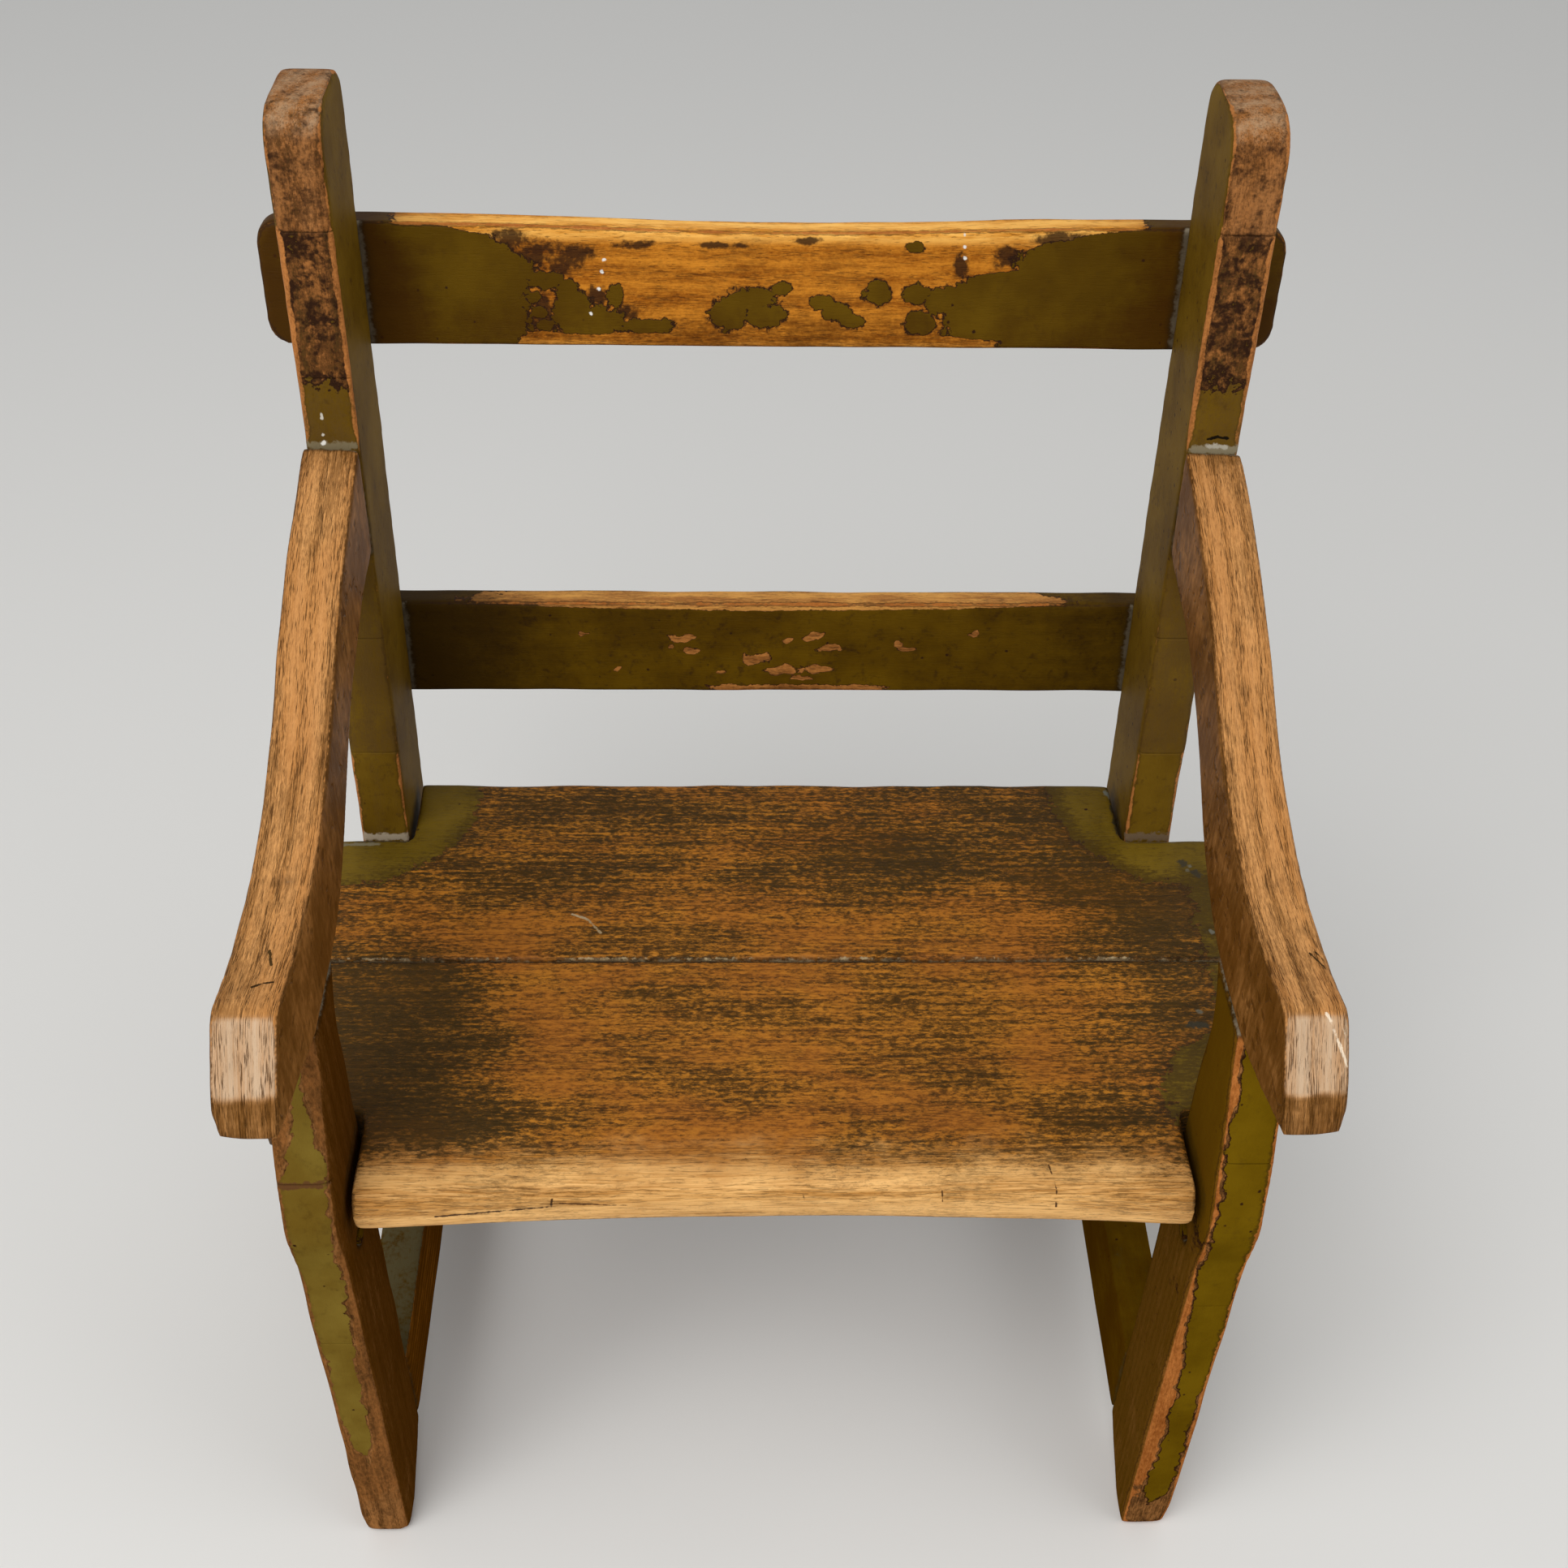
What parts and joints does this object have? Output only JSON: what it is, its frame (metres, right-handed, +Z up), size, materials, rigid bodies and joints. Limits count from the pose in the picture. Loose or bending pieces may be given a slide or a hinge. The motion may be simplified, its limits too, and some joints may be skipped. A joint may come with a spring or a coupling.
{
  "type": "child armchair",
  "caption": "Low child's armchair of sawn oak boards with a plank seat, double-curved arms and a back of flat rails on leaning posts, in worn olive paint.",
  "frame": {"origin": "on the floor under the middle of the whole chair", "axes": "+Z up, -Y towards the front, where the sitter faces, +X to the right as seen from the front"},
  "size_m": [0.394, 0.3212, 0.546],
  "materials": {
    "post_wood": "old olive paint worn to brown oak, waxed",
    "leg_wood": "old olive paint worn at the edges, waxed",
    "arm_wood": "bare worn oak, waxed",
    "stretcher_wood": "old olive paint, dusty",
    "rail_wood": "old olive paint worn to oak in the middle",
    "seat_wood": "worn brown oak, waxed",
    "pin_wood": "bare oak",
    "screw_steel": "dull old steel"
  },
  "bodies": {
    "root": {"back_post_left": "post_wood", "back_post_right": "post_wood", "front_leg_left": "leg_wood", "front_leg_right": "leg_wood", "arm_left": "arm_wood", "arm_right": "arm_wood", "side_stretcher_left": "stretcher_wood", "side_stretcher_right": "stretcher_wood", "seat_rail_left": "stretcher_wood", "seat_rail_right": "stretcher_wood", "top_back_rail": "rail_wood", "lower_back_rail": "rail_wood", "seat_front_board": "seat_wood", "seat_rear_board": "seat_wood", "seat_dowels": "pin_wood", "seat_rail_pegs": "pin_wood", "tenon_wedges": "pin_wood", "top_rail_screws": "screw_steel", "lower_rail_screws": "screw_steel", "seat_screws": "screw_steel"}
  },
  "joints": []
}
